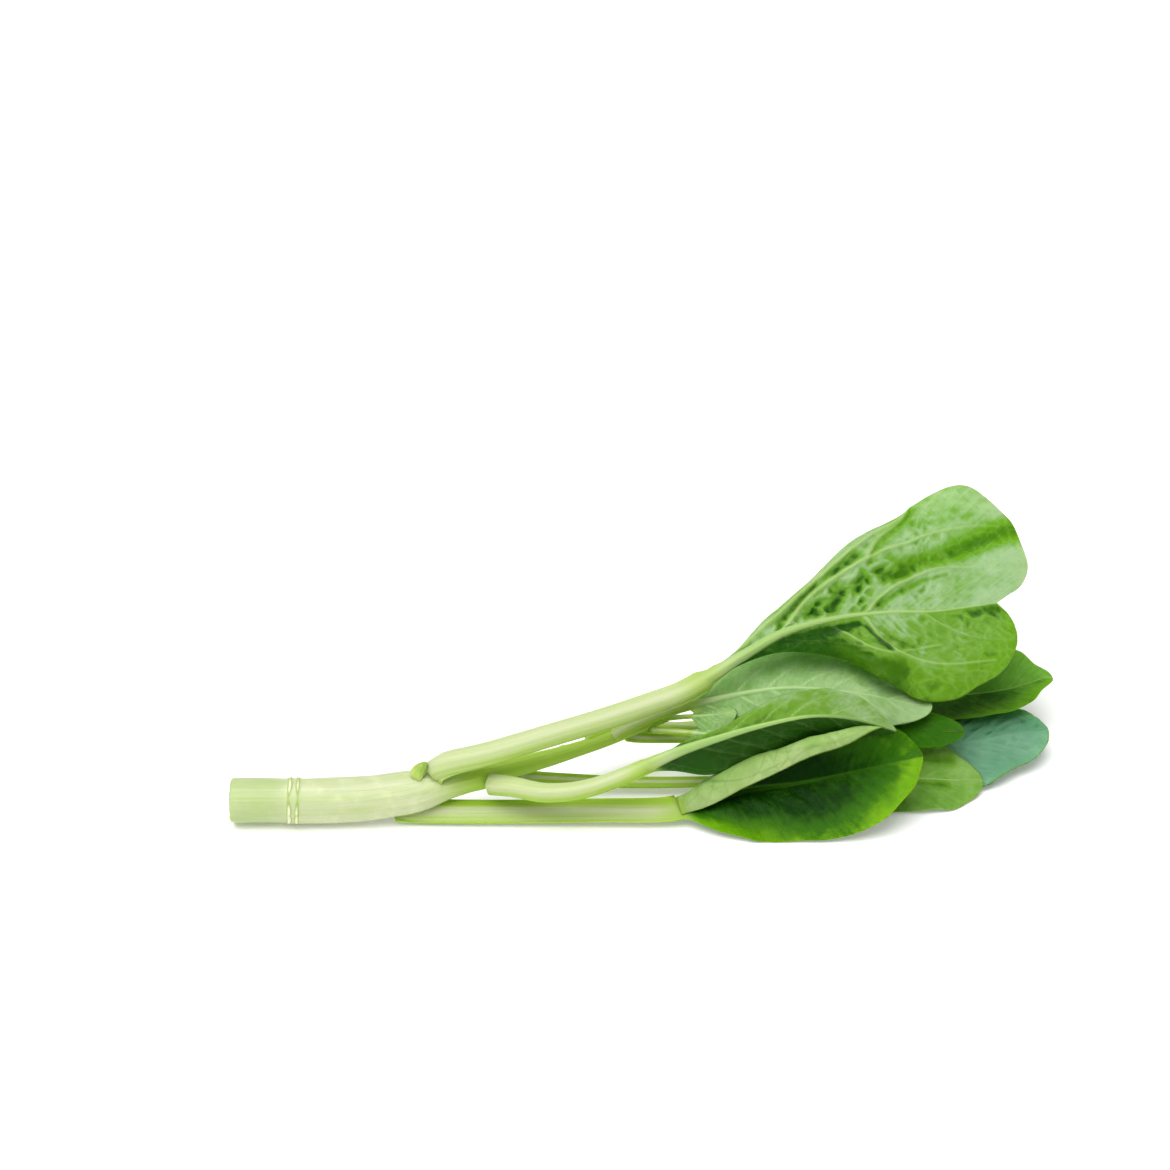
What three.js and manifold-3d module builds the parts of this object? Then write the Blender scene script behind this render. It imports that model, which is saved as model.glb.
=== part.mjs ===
// One cut stalk of choy sum lying on its side: a main stem with its leaves, each with its petiole and
// blade in one piece.
//
// Millimetres, +Z up. In the layout below the stem's cut end is near X = Y = 0 and the stalk runs along
// +X. The exported group is moved so that its origin is the middle of the box's underside.
import * as THREE from "three";
import { mergeVertices } from "three/addons/utils/BufferGeometryUtils.js";
import Module from "manifold-3d";

// ---- driving dimensions ----
const BLADE_THICKNESS = 0.8;
const GAP = 0.3; // between a petiole's foot and the stem
const MARGIN = 0.95; // half width of a petiole as a share of its radius
const CLASP = { reach: 1.6, curl: 50 }; // how far up its flare the foot wraps round the stem, and how much
const PETIOLE = { curl: 20, slim: 0.28, below: 0.85, slimBelow: 0.15, above: 0.4, slimAbove: 0.5 };
const MIDRIB = { radius: 0.72, slim: 0.6, fade: 0.7, below: 0.7, slimBelow: 0.6, fadeBelow: 0.6 };
const WING = 1.15; // least half width of a blade as a share of the midrib's radius
const MOST_RIB = 0.8; // most of a half that the midrib may take
const SPACING = { petiole: 11, blade: 9 }; // between cross rows of the mesh
const STEM_SIDES = 20;
const STEM_TIP = 0.6; // the rounding beyond the last of the profile
const TIP_POWER = 6; // how late the side veins shorten towards a blade's tip
const LEAST_ROWS = { petiole: 4, blade: 7 };
const RIB_STEPS = 2; // mesh steps across half a midrib
const BLADE_STEPS = 4; // mesh steps across half a blade, beside the midrib
const SECTION_STEPS = 16; // steps that add up the curl of a section
const RAD = Math.PI / 180;
const UP = new THREE.Vector3(0, 0, 1);

// The stem's axis, from the cut end to the growing tip.
const STEM_ROUTE = [
  [0, 3, 8.7],
  [38, 3, 8.8],
  [60, 4, 10.6],
  [75, 6, 13.2],
  [90, 9.5, 15],
  [118, 16, 19.7],
  [147, 24, 26],
  [160, 28, 28.5],
];

// Along the stem: distance from the cut end and radius. The bumps are the ring where a leaf came off and the
// swellings where leaves leave the stem.
const STEM_PROFILE = [
  [0, 7.8],
  [1.2, 8.2],
  [19.5, 8.2],
  [21.5, 8.8],
  [23.5, 8.3],
  [46, 8.2],
  [56, 7.9],
  [65, 7.8],
  [71, 7.2],
  [79, 5.4],
  [87, 4.6],
  [91.5, 5],
  [97, 3.8],
  [112, 3.2],
  [126, 2.8],
  [140, 2.4],
  [152, 1.8],
  [162, 1],
];

// Half of a young leaf's blade, which is still folded along its midrib.
function youngHalf(longest) {
  return {
    reach: [0.2, 0.7, 1, 1, 0.8, 0.5].map((share) => share * longest),
    sweep: [74, 46],
    fold: [24, 20, 16],
    curl: [16, 20, 16],
    hem: [0, 0, 0],
  };
}

// Each leaf, from its foot on the stem to its tip.
//   route: points on the midrib, each with its roll: how far the upper face leans from straight up towards -Y
//   petiole: length below the blade; rib: radius of the petiole; foot: half width where it clasps the stem
//   right, left: the two halves, seen from above with the tip ahead, each with
//     reach: lengths of the side veins, evenly spaced from the blade's base to its tip
//     sweep: their angle from the midrib at the base and at the tip, in degrees
//     fold at the midrib, curl out to the margin and hem, the extra roll right at the margin: degrees, at the
//     blade's base, middle and tip
const LEAVES = [
  {
    name: "leaf_top",
    colour: 0x7db53f,
    route: [
      [65, 6, 15, 200],
      [69, 5, 19.6, 205],
      [77, 3.5, 24.8, 212],
      [92.6, 2.5, 29.3, 214],
      [112.5, 6, 34, 216],
      [134, 12, 37.8, 218],
      [151, 18, 40.6, 219],
      [165, 23.5, 43.4, 219],
      [184, 33, 51, 218],
      [200.3, 42, 56, 218],
      [221, 51, 56.8, 218],
      [241, 58, 55, 217],
      [258, 62, 53, 216],
      [281, 68, 53, 214],
    ],
    petiole: 113,
    rib: 5.2,
    foot: 7.4,
    right: {
      reach: [1.5, 15, 58, 72, 56, 45],
      sweep: [56, 26],
      fold: [26, -6, -10],
      curl: [10, 10, 24],
      hem: [0, 0, 20],
    },
    left: {
      reach: [1.5, 9, 27, 44, 44, 30],
      sweep: [66, 46],
      fold: [24, -6, -8],
      curl: [10, 20, 24],
      hem: [0, 20, 20],
    },
  },
  {
    name: "leaf_middle",
    colour: 0x8cc152,
    route: [
      [88, 5, 15, 250],
      [100.6, -0.5, 17.2, 240],
      [112.4, -3.5, 16.6, 230],
      [124.6, -4, 17.8, 222],
      [136.4, -2, 20.5, 214],
      [148, 0, 25, 208],
      [160, 2, 30, 205],
      [172, 4, 33.6, 204],
      [190, 7, 38, 204],
      [208, 10, 40.2, 204],
      [224, 11, 38.3, 206],
      [240.6, 12, 32.3, 210],
    ],
    petiole: 64,
    rib: 3.9,
    foot: 4.6,
    right: {
      reach: [1.5, 6, 15, 19, 17, 9],
      sweep: [74, 46],
      fold: [30, 14, 6],
      curl: [10, 14, 20],
      hem: [0, 0, 0],
    },
    left: {
      reach: [4, 12, 15, 15, 11, 6],
      sweep: [74, 46],
      fold: [66, 80, 60],
      curl: [14, 10, 20],
      hem: [0, 0, 0],
    },
  },
  {
    name: "leaf_front",
    colour: 0x4f9a28,
    route: [
      [57, 4, 5.2, 60],
      [66, 3.2, 4.2, 50],
      [78, 2.6, 4, 36],
      [100, 2.4, 4, 26],
      [124.6, 2.4, 4.2, 22],
      [136.5, 2.6, 5.2, 20],
      [148.4, 3.2, 7, 20],
      [162, 4.8, 9, 20],
      [183.5, 7.5, 9.6, 22],
      [205, 9, 12.2, 25],
      [227, 10, 17.2, 27],
      [247.5, 10, 22.8, 26],
    ],
    petiole: 104,
    rib: 4.3,
    foot: 6,
    right: {
      reach: [4, 19, 25, 26, 22, 18],
      sweep: [78, 50],
      fold: [6, -4, -4],
      curl: [0, -8, -4],
      hem: [0, 10, 0],
    },
    left: {
      reach: [6, 22, 29, 28, 22, 17],
      sweep: [74, 50],
      fold: [44, 50, 42],
      curl: [40, 92, 14],
      hem: [60, 60, 0],
    },
  },
  {
    name: "leaf_low",
    colour: 0x86bd40,
    route: [
      [101, 13, 12.5, 40],
      [114, 17, 8.6, 30],
      [148, 20, 5, 20],
      [185, 21.5, 4.6, 18],
      [222, 22, 5.2, 18],
      [246, 22, 5.4, 19],
      [270, 22.5, 3.2, 20],
    ],
    petiole: 92,
    rib: 2.7,
    foot: 3.6,
    right: {
      reach: [3, 13, 17, 17, 15, 12],
      sweep: [74, 46],
      fold: [4, 0, -2],
      curl: [6, -4, 0],
      hem: [0, 0, 0],
    },
    left: {
      reach: [3, 13, 17, 18, 15, 12],
      sweep: [74, 46],
      fold: [6, 4, 2],
      curl: [6, 4, 4],
      hem: [0, 0, 0],
    },
  },
  {
    name: "leaf_rear",
    colour: 0x3f7f2c,
    route: [
      [116, 18.5, 19, -50],
      [125, 24, 19, -30],
      [148, 37, 17, -10],
      [188, 53, 10, 4],
      [223, 61.5, 5.4, 10],
      [258, 65.5, 5.2, 12],
      [285, 67, 10.5, 12],
      [303, 68, 17.5, 12],
    ],
    petiole: 106,
    rib: 2.7,
    foot: 3.6,
    right: {
      reach: [3, 16, 25, 26, 21, 13],
      sweep: [74, 46],
      fold: [8, 4, 6],
      curl: [4, 2, 4],
      hem: [0, 0, 0],
    },
    left: {
      reach: [3, 16, 26, 27, 22, 13],
      sweep: [74, 46],
      fold: [10, 10, 12],
      curl: [10, 10, 4],
      hem: [0, 0, 0],
    },
  },
  {
    name: "leaf_blue",
    colour: 0x4c8f63,
    route: [
      [127, 19.5, 22, 150],
      [134, 24, 24.5, 165],
      [160, 33, 20.5, 190],
      [198, 37.5, 12.5, 200],
      [232, 37.5, 8.4, 202],
      [262, 37, 7.2, 202],
      [299, 34, 8, 202],
    ],
    petiole: 96,
    rib: 2.7,
    foot: 3.2,
    right: {
      reach: [3, 15, 25, 28, 26, 19],
      sweep: [74, 46],
      fold: [4, 0, 0],
      curl: [6, -8, -4],
      hem: [0, 0, 0],
    },
    left: {
      reach: [3, 14, 22, 23, 18, 10],
      sweep: [74, 46],
      fold: [0, -4, -2],
      curl: [4, 2, -4],
      hem: [0, 0, 0],
    },
  },
  {
    name: "leaf_pale",
    colour: 0x9ccb6a,
    route: [
      [136, 20.5, 24, 225],
      [144, 21, 29, 215],
      [165, 26, 34.5, 206],
      [198, 32, 38, 204],
      [225, 35, 34.5, 203],
      [254, 38, 26, 202],
    ],
    petiole: 32,
    rib: 2.3,
    foot: 2.8,
    right: {
      reach: [1.5, 10, 20, 21, 16, 9],
      sweep: [74, 46],
      fold: [12, 4, 4],
      curl: [6, 8, 10],
      hem: [0, 0, 0],
    },
    left: {
      reach: [1.5, 7, 13, 16, 13, 8],
      sweep: [74, 46],
      fold: [12, 8, 4],
      curl: [10, 14, 14],
      hem: [0, 0, 0],
    },
  },
  {
    name: "leaf_inner",
    colour: 0x2f7a1f,
    route: [
      [145, 23.5, 22, 50],
      [153, 25, 20, 42],
      [178, 29, 18.5, 34],
      [208, 30, 19, 30],
      [238, 29.5, 19, 28],
      [270, 26.5, 17, 26],
    ],
    petiole: 22,
    rib: 2.0,
    foot: 2.4,
    right: {
      reach: [1.5, 6, 10, 12, 11, 9],
      sweep: [74, 46],
      fold: [10, 2, 0],
      curl: [4, 4, 4],
      hem: [0, 0, 0],
    },
    left: {
      reach: [1.5, 8, 12, 14, 12, 9],
      sweep: [74, 46],
      fold: [14, 10, 6],
      curl: [6, 6, 6],
      hem: [0, 0, 0],
    },
  },
  {
    name: "young_leaf_long",
    colour: 0x8fc257,
    route: [
      [150, 23.5, 26, 228],
      [158, 20, 27.5, 222],
      [174, 15, 29, 212],
      [192, 13, 28, 206],
    ],
    petiole: 17,
    rib: 1.3,
    foot: 1.6,
    right: youngHalf(6),
    left: youngHalf(6),
  },
  {
    name: "young_leaf_short",
    colour: 0x86bd4a,
    route: [
      [154, 26, 28.6, 190],
      [161, 24.4, 30.6, 200],
      [171, 21.8, 33, 205],
      [184, 20, 35.4, 205],
    ],
    petiole: 13,
    rib: 1.1,
    foot: 1.4,
    right: youngHalf(5),
    left: youngHalf(5),
  },
];

// A small bud on the stem beside the foot of the top leaf: its middle, its size, its lean from upright
// towards the leaf tips, in degrees, and how much it narrows to its point.
const BUD = {
  at: [63.6, 4, 20.4],
  length: 9,
  width: 5.2,
  lean: 48,
  narrows: 0.35,
  sides: 12,
  rows: 8,
};

// ---- shape helpers ----

// A value given at the base, the middle and the tip of a blade, eased between them.
function eased([base, middle, tip], share) {
  const ease = (x) => x * x * (3 - 2 * x);
  return share < 0.5
    ? base + (middle - base) * ease(share * 2)
    : middle + (tip - middle) * ease(share * 2 - 1);
}

// A curve through points [x, y, z, roll], measured by its own length, with a frame that turns by the roll.
class Midrib {
  constructor(route) {
    this.route = route;
    this.curve = new THREE.CatmullRomCurve3(
      route.map(([x, y, z]) => new THREE.Vector3(x, y, z)),
      false,
      "catmullrom",
      0.5,
    );
    this.curve.arcLengthDivisions = 400;
    this.length = this.curve.getLength();
  }

  rollAt(share) {
    const along =
      this.curve.getUtoTmapping(share) * (this.route.length - 1);
    const from = Math.min(Math.floor(along), this.route.length - 2);
    const part = along - from;
    return (
      (this.route[from][3] ?? 0) * (1 - part) +
      (this.route[from + 1][3] ?? 0) * part
    );
  }

  frameAt(distance) {
    const share = THREE.MathUtils.clamp(distance / this.length, 0, 1);
    const tangent = this.curve.getTangentAt(share);
    const point = this.curve.getPointAt(share);
    point.addScaledVector(tangent, distance - share * this.length);
    const up = UP.clone().addScaledVector(tangent, -UP.dot(tangent)).normalize();
    const lean = tangent.clone().cross(up);
    const roll = this.rollAt(share) * RAD;
    const face = up
      .multiplyScalar(Math.cos(roll))
      .addScaledVector(lean, Math.sin(roll));
    const side = tangent.clone().cross(face);
    return { point, tangent, face, side };
  }
}

// A smooth curve through evenly spaced values.
function spline(values, share) {
  const last = values.length - 1;
  const from = Math.min(Math.floor(share * last), last - 1);
  const part = share * last - from;
  const at = (i) => values[THREE.MathUtils.clamp(i, 0, last)];
  const slope = (i) => (at(i + 1) - at(i - 1)) / 2;
  const square = part * part;
  const cube = square * part;
  return (
    (2 * cube - 3 * square + 1) * at(from) +
    (cube - 2 * square + part) * slope(from) +
    (3 * square - 2 * cube) * at(from + 1) +
    (cube - square) * slope(from + 1)
  );
}

// The side vein that leaves the midrib at this share of the blade: its length and its angle from the midrib.
function sideVein({ reach, sweep }, share) {
  return {
    length: spline(reach, share) * Math.sqrt(1 - share ** TIP_POWER),
    angle: (sweep[0] + (sweep[1] - sweep[0]) * share) * RAD,
  };
}

// What a cross row of the leaf needs: where it starts on the midrib, how wide it is, how it curls, and how
// far the rib stands out below and above.
function rowOf(leaf, midrib, row, petioleRows, bladeRows) {
  if (row <= petioleRows) {
    const share = row / petioleRows;
    const start = leaf.petiole * share;
    const clasp = Math.exp(-start / (CLASP.reach * leaf.foot));
    const width = leaf.rib * MARGIN;
    const half = {
      length: width + (leaf.foot - width) * clasp,
      angle: Math.PI / 2,
      bends: [0, PETIOLE.curl + CLASP.curl * clasp, 0],
    };
    return {
      start,
      rib: leaf.rib * (1 - PETIOLE.slim * share),
      below: leaf.rib * (PETIOLE.below - PETIOLE.slimBelow * share),
      above: leaf.rib * PETIOLE.above * (1 - PETIOLE.slimAbove * share),
      right: half,
      left: half,
    };
  }
  const share = (row - petioleRows) / bladeRows;
  const rib = leaf.rib * (MIDRIB.radius - MIDRIB.slim * share ** MIDRIB.fade);
  const half = (side) => {
    const { length, angle } = sideVein(side, share);
    return {
      length: Math.max(length, rib * WING * Math.sqrt(1 - share)),
      angle,
      bends: [side.fold, side.curl, side.hem].map((at) => eased(at, share)),
    };
  };
  return {
    start: leaf.petiole + (midrib.length - leaf.petiole) * share,
    rib,
    below: leaf.rib * (MIDRIB.below - MIDRIB.slimBelow * share ** MIDRIB.fadeBelow),
    above: BLADE_THICKNESS / 2,
    right: half(leaf.right),
    left: half(leaf.left),
  };
}

// A point of the leaf's upper or lower face. across runs from -1, the left margin, to 1, the right one.
function leafPoint(midrib, row, across, upper) {
  const share = Math.abs(across);
  const half = across < 0 ? row.left : row.right;
  const [fold, curl, hem] = half.bends;
  const width = half.length * Math.sin(half.angle) * share;
  let out = 0;
  let lift = 0;
  let bend = fold * RAD;
  for (let i = 0; i < SECTION_STEPS; i++) {
    const part = (share * (i + 0.5)) / SECTION_STEPS;
    bend = (fold + curl * part + hem * part ** 4) * RAD;
    out += (Math.cos(bend) * width) / SECTION_STEPS;
    lift += (Math.sin(bend) * width) / SECTION_STEPS;
  }
  const overRib = Math.min(1, width / row.rib);
  const bulge = Math.sqrt(1 - overRib ** 2);
  const thin = BLADE_THICKNESS / 2;
  const offset = upper
    ? Math.max(thin, row.above * bulge)
    : -Math.max(thin, row.below * bulge);
  const lean = bend * overRib;
  const sign = Math.sign(across) || 1;
  const { point, face, side } = midrib.frameAt(
    row.start + half.length * share * Math.cos(half.angle),
  );
  return point
    .addScaledVector(side, sign * (out - Math.sin(lean) * offset))
    .addScaledVector(face, lift + Math.cos(lean) * offset);
}

// Turns a sphere into the leaf: its poles are the foot and the tip, and each ring runs over the upper face
// from the left margin to the right one and back along the lower face.
function leafGeometry(leaf) {
  const midrib = new Midrib(leaf.route);
  const bladeLength = midrib.length - leaf.petiole;
  const petioleRows = Math.max(
    LEAST_ROWS.petiole,
    Math.round(leaf.petiole / SPACING.petiole),
  );
  const bladeRows = Math.max(
    LEAST_ROWS.blade,
    Math.round(bladeLength / SPACING.blade),
  );
  const rows = petioleRows + bladeRows;
  const halfSteps = RIB_STEPS + BLADE_STEPS;
  const ring = halfSteps * 4;
  const sphere = new THREE.SphereGeometry(1, ring, rows);
  const { position, uv } = sphere.attributes;
  const tip = midrib.frameAt(midrib.length).point;
  const foot = midrib.frameAt(0).point;
  for (let i = 0; i < position.count; i++) {
    const rowNumber = Math.round((1 - uv.getY(i)) * rows);
    let at;
    if (rowNumber === 0) at = foot;
    else if (rowNumber === rows) at = tip;
    else {
      const row = rowOf(leaf, midrib, rowNumber, petioleRows, bladeRows);
      const step = (i % (ring + 1)) % ring;
      const upper = step <= 2 * halfSteps;
      const signed = upper ? step - halfSteps : 3 * halfSteps - step;
      const count = Math.abs(signed);
      const half = signed < 0 ? row.left : row.right;
      const ribShare = Math.min(
        MOST_RIB,
        row.rib / (half.length * Math.sin(half.angle)),
      );
      const share =
        count <= RIB_STEPS
          ? (ribShare * count) / RIB_STEPS
          : ribShare + ((1 - ribShare) * (count - RIB_STEPS)) / BLADE_STEPS;
      at = leafPoint(midrib, row, Math.sign(signed) * share, upper);
    }
    position.setXYZ(i, at.x, at.y, at.z);
  }
  return sphere;
}

// The stem, turned about its axis and then bent along its route. grow adds to its radius all over.
function stemGeometry(grow) {
  const midrib = new Midrib(STEM_ROUTE);
  const profile = [
    new THREE.Vector2(0, -grow),
    ...STEM_PROFILE.map(
      ([distance, radius], i) =>
        new THREE.Vector2(radius + grow, i ? distance : -grow),
    ),
    new THREE.Vector2(0, STEM_PROFILE.at(-1)[0] + STEM_TIP + grow),
  ];
  const lathe = new THREE.LatheGeometry(profile, STEM_SIDES);
  const { position } = lathe.attributes;
  for (let i = 0; i < position.count; i++) {
    const { point, face, side } = midrib.frameAt(position.getY(i));
    point
      .addScaledVector(side, position.getX(i))
      .addScaledVector(face, position.getZ(i));
    position.setXYZ(i, point.x, point.y, point.z);
  }
  return lathe;
}

// The bud: an egg shape that narrows to a point.
function budGeometry() {
  const egg = new THREE.SphereGeometry(1, BUD.sides, BUD.rows);
  const { position } = egg.attributes;
  const turn = new THREE.Quaternion().setFromAxisAngle(
    new THREE.Vector3(0, 1, 0),
    BUD.lean * RAD,
  );
  const at = new THREE.Vector3();
  for (let i = 0; i < position.count; i++) {
    at.fromBufferAttribute(position, i);
    const narrow = 1 - BUD.narrows * at.y;
    at.set(
      at.x * (BUD.width / 2) * narrow,
      at.z * (BUD.width / 2) * narrow,
      at.y * (BUD.length / 2),
    );
    at.applyQuaternion(turn).add(new THREE.Vector3(...BUD.at));
    position.setXYZ(i, at.x, at.y, at.z);
  }
  return egg;
}

// ---- solids ----
const wasm = await Module();
wasm.setup();

// A closed solid from a geometry, turned the right way out.
function solidOf(geometry) {
  const bare = geometry.clone();
  bare.deleteAttribute("normal");
  bare.deleteAttribute("uv");
  const merged = mergeVertices(bare, 1e-3);
  const triVerts = new Uint32Array(merged.index.array);
  const vertProperties = merged.attributes.position.array;
  const made = new wasm.Manifold(
    new wasm.Mesh({ numProp: 3, vertProperties, triVerts }),
  );
  if (made.volume() > 0) return made;
  for (let i = 0; i < triVerts.length; i += 3)
    [triVerts[i + 1], triVerts[i + 2]] = [triVerts[i + 2], triVerts[i + 1]];
  return new wasm.Manifold(
    new wasm.Mesh({ numProp: 3, vertProperties, triVerts }),
  );
}

// A solid's triangles as a geometry.
function geometryOf(solid) {
  const mesh = solid.getMesh();
  const places = new Float32Array(mesh.numVert * 3);
  for (let i = 0; i < mesh.numVert; i++)
    places.set(
      mesh.vertProperties.subarray(i * mesh.numProp, i * mesh.numProp + 3),
      i * 3,
    );
  const geometry = new THREE.BufferGeometry();
  geometry.setAttribute("position", new THREE.BufferAttribute(places, 3));
  geometry.setIndex(new THREE.BufferAttribute(mesh.triVerts, 1));
  geometry.computeVertexNormals();
  return geometry;
}

// The biggest body of a solid, so that a cut leaves no crumbs.
function largest(solid) {
  const bodies = solid.decompose();
  return bodies.reduce((a, b) => (a.volume() > b.volume() ? a : b));
}

function material(colour) {
  return new THREE.MeshStandardMaterial({ color: colour, roughness: 0.45, metalness: 0 });
}

const stalk = new THREE.Group();

const stem = new THREE.Mesh(
  geometryOf(solidOf(stemGeometry(0))),
  material(0xd6e6ae),
);
stem.name = "main_stem";
stalk.add(stem);

const clearance = solidOf(stemGeometry(GAP));
for (const leaf of LEAVES) {
  const solid = largest(solidOf(leafGeometry(leaf)).subtract(clearance));
  const mesh = new THREE.Mesh(geometryOf(solid), material(leaf.colour));
  mesh.name = leaf.name;
  stalk.add(mesh);
}

const bud = new THREE.Mesh(
  geometryOf(largest(solidOf(budGeometry()).subtract(clearance))),
  material(0x9cc94f),
);
bud.name = "axillary_bud";
stalk.add(bud);

// The origin goes to the middle of the underside of the whole stalk's box.
const box = new THREE.Box3().setFromObject(stalk, true);
const middle = box.getCenter(new THREE.Vector3());
stalk.position.set(-middle.x, -middle.y, -box.min.z);

export default stalk;
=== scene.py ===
"""A cut stalk of choy sum: the looks of its stem, leaves and bud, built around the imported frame.

Shapes are worked out in millimetres in the stalk's layout, where the stem is cut off at X = 0 and runs
along +X with +Z up. shell() moves them into the row frame, in metres.
"""

import math
from dataclasses import dataclass, replace
from types import SimpleNamespace

import bmesh
import bpy
import numpy as np
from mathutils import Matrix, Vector


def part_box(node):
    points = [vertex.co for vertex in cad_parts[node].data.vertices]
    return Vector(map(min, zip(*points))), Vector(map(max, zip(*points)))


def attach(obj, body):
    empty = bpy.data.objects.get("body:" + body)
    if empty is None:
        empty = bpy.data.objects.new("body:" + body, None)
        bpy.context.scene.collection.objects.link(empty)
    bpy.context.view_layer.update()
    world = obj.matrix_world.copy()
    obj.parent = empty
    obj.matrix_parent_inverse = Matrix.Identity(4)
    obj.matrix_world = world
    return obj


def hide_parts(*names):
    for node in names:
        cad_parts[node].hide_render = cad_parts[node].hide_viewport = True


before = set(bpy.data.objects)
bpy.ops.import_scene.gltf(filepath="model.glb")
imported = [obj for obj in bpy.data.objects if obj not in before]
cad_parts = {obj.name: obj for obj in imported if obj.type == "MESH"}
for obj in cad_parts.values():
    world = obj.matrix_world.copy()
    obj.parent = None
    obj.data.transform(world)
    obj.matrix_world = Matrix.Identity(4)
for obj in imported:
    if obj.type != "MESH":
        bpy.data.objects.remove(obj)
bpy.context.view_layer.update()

# ---- the layout, in mm and degrees ----
MM = 0.001
STEM_CORNER = np.array([-0.02, -5.87, -0.16])  # lowest corner of the stem in the layout
SHIFT = np.array(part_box("main_stem")[0]) / MM - STEM_CORNER

# points on the stem's middle line, each with its roll, and the stem's radius at distances from the cut
STEM_ROUTE = [
    [0, 3, 8.7, 0], [38, 3, 8.8, 0], [60, 4, 10.6, 0], [75, 6, 13.2, 0], [90, 9.5, 15, 0],
    [118, 16, 19.7, 0], [147, 24, 26, 0], [160, 28, 28.5, 0],
]
STEM_PROFILE = np.array([
    [0, 7.9], [1.2, 8.1], [19.5, 8], [22, 8.3], [25, 8.2], [46, 8.2], [56, 7.9], [65, 7.8], [71, 7.2],
    [79, 5.4], [87, 4.6], [91.5, 5], [97, 3.8], [112, 3.2], [126, 2.8], [140, 2.4], [152, 1.8], [162, 1],
])
STEM_RADIUS = 8.2
BUD_AT = np.array([68.3, 3.2, 21.6])
BUD_LENGTH, BUD_WIDTH, BUD_LEAN = 8.5, 4.8, 32


@dataclass
class Vein:
    """A side vein: where it leaves the midrib as a share of the blade, its angle there, how far it turns
    towards the tip on its way out, its radius, and how far out it stops. Forks are [share of the way
    out, angle]."""

    at: float
    angle: float
    turn: float = 22
    radius: float = 0.75
    stop: float = 0.93
    forks: tuple = ((0.5, 24),)


@dataclass
class Ridge:
    """A strong vein drawn through points [mm past the blade's base, mm from the midrib]."""

    points: list
    radius: float
    end_radius: float = 0.35


@dataclass
class Furrow:
    """A trough through points as a ridge's. It narrows or widens from start_width to width. In it shade is
    painted shade that deepens the green, and glow makes the green more vivid."""

    points: list
    width: float
    depth: float
    start_width: float = None
    shade: float = 1.2
    glow: float = 0


@dataclass
class Half:
    """One half of a blade. The lists run evenly from the blade's base to its tip.

    reach: length of the rows; sweep: their angle from the midrib at the base and at the tip
    fold, curl, hem: the bend at the midrib, what it gains out to the margin, and the extra roll of the
    margin, halfway at crease as a share of the way out
    veins: the side veins, or none for an even set
    tone, rim_tone_and_painted_light: from -1, deep green, to 1, pale, at the midrib and the
    margin, partly the blade's own colour and partly painted shade in folds, cups and creases and painted
    sheen where the blade faces the light; rim_from: where the second starts to come in; vivid: how much of
    the green is yellow-green
    quilt: height of the puckers; quilt_fade: the share that they lose out to the margin
    """

    reach: list
    fold: list = (0, 0, 0)
    curl: list = (0, 0, 0)
    hem: list = (0, 0, 0)
    crease: list = (0.8, 0.8, 0.8)
    sweep: tuple = (74, 46)
    veins: list = None
    tone: list = (0, 0, 0)
    rim_tone_and_painted_light: list = (0, 0, 0)
    rim_from: float = 0
    vivid: list = (0, 0, 0)
    quilt: list = (0.35, 0.35, 0.2)
    quilt_fade: float = 0.8
    ridges: tuple = ()
    furrows: tuple = ()


@dataclass
class Leaf:
    """A leaf from its foot on the stem to its tip.

    name, node, finish: of the piece, the CAD node that it replaces and its looks; slot: a material slot,
    not used
    route: points on the midrib, each with its roll: how far the upper face leans from straight up to -Y
    petiole: length below the blade; rib: radius of the petiole; foot: half width where it clasps the stem
    right, left: the halves seen from above with the tip ahead
    trim: what the end of the route has over; notched: whether the tip is cut in, not pointed
    neck, shoulder: shares of the rib's radius that are left at the blade's base and lost just past it
    stalk_green: how green the flanks of the petiole are, left and right: partly their own green, partly
    painted shade where other petioles lie over them
    cell: size of the puckers; pleat, broad, ruffle: height of the folds between side veins, of the broad
    waves and of the waves at the margin; ragged: how uneven the margin is
    seed: of its patterns; vein_radius, veins: size and number of the side veins in an even set
    """

    name: str
    node: str
    slot: str
    finish: str
    route: list
    petiole: float
    rib: float
    foot: float
    right: Half
    left: Half
    trim: float = 8
    notched: bool = False
    neck: float = 0.72
    shoulder: float = 0
    stalk_green: tuple = (0.5, 0)
    cell: tuple = (7.5, 5.2)
    pleat: float = 0.8
    broad: float = 1.8
    ruffle: float = 0.8
    ragged: float = 0.5
    seed: int = 1
    vein_radius: float = 0.6
    veins: int = 7


def young_leaf(name, node, route, petiole, rib, foot, longest, seed):
    """A small leaf at the growing tip, whose blade is still folded along its midrib."""
    reach = [share * longest for share in (0.2, 0.7, 1, 1, 0.8, 0.8)]
    half = Half(reach, fold=(24, 20, 16), curl=(16, 20, 16))
    return Leaf(
        name, node, "leaf_bright", "pale", route, petiole, rib, foot, half, half,
        stalk_green=(0.8, 0.7), seed=seed, vein_radius=0.3, veins=5,
    )
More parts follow.
